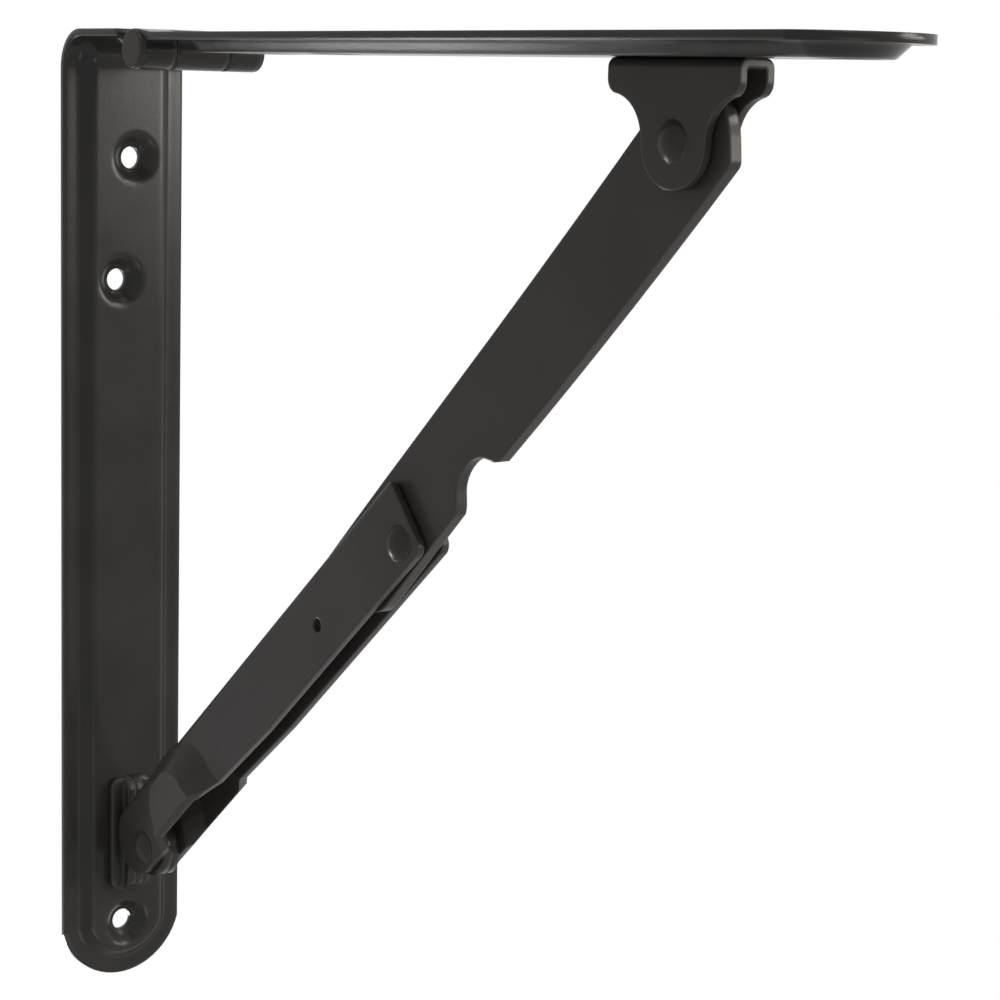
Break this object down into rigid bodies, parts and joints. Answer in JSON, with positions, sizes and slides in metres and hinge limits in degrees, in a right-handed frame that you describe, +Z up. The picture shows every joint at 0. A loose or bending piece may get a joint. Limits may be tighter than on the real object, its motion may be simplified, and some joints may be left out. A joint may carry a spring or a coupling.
{
  "type": "folding shelf bracket",
  "caption": "Folding shelf bracket: wall leaf and shelf leaf on a hinge, held level by a two-bar knee brace that folds flat.",
  "frame": {"origin": "in the plane of the wall, at the height of the shelf leaf's top face, in the bracket's middle", "axes": "+X out from the wall along the open shelf leaf, +Y along the hinge, +Z up"},
  "size_m": [0.3, 0.0384, 0.2739],
  "materials": {
    "black_paint": "satin black paint",
    "black_paint_rivet": "satin black paint on rivets and pin"
  },
  "bodies": {
    "wall": {"wall_leaf": "black_paint", "wall_lug_left": "black_paint", "wall_lug_right": "black_paint", "wall_pivot_rivet": "black_paint_rivet"},
    "shelf": {"shelf_leaf": "black_paint", "hinge_pin": "black_paint_rivet", "shelf_clevis": "black_paint", "clevis_rivet_rear": "black_paint_rivet", "clevis_rivet_front": "black_paint_rivet", "shelf_pivot_rivet": "black_paint_rivet"},
    "upper": {"upper_link": "black_paint", "knee_rivet_shank": "black_paint_rivet"},
    "lower": {"lower_link": "black_paint", "knee_rivet_left": "black_paint_rivet", "knee_rivet_right": "black_paint_rivet"}
  },
  "joints": [
    {"name": "shelf_fold", "type": "hinge", "parent": "wall", "child": "shelf", "pos_m": [0.0398, 0, -0.0044], "axis": [0, 1, 0], "range_deg": [0, 90]},
    {"name": "upper_link_turn", "type": "hinge", "parent": "shelf", "child": "upper", "pos_m": [0.239, 0, -0.0224], "axis": [0, 1, 0], "range_deg": [0, 45.97]},
    {"name": "lower_link_turn", "type": "hinge", "parent": "wall", "child": "lower", "pos_m": [0.0224, 0, -0.229], "axis": [0, 1, 0], "range_deg": [-49.68, 0]}
  ],
  "couplings": [
    {"joint": "upper_link_turn", "follows": "shelf_fold", "ratio": 0.50855},
    {"joint": "lower_link_turn", "follows": "shelf_fold", "ratio": -0.54983}
  ]
}
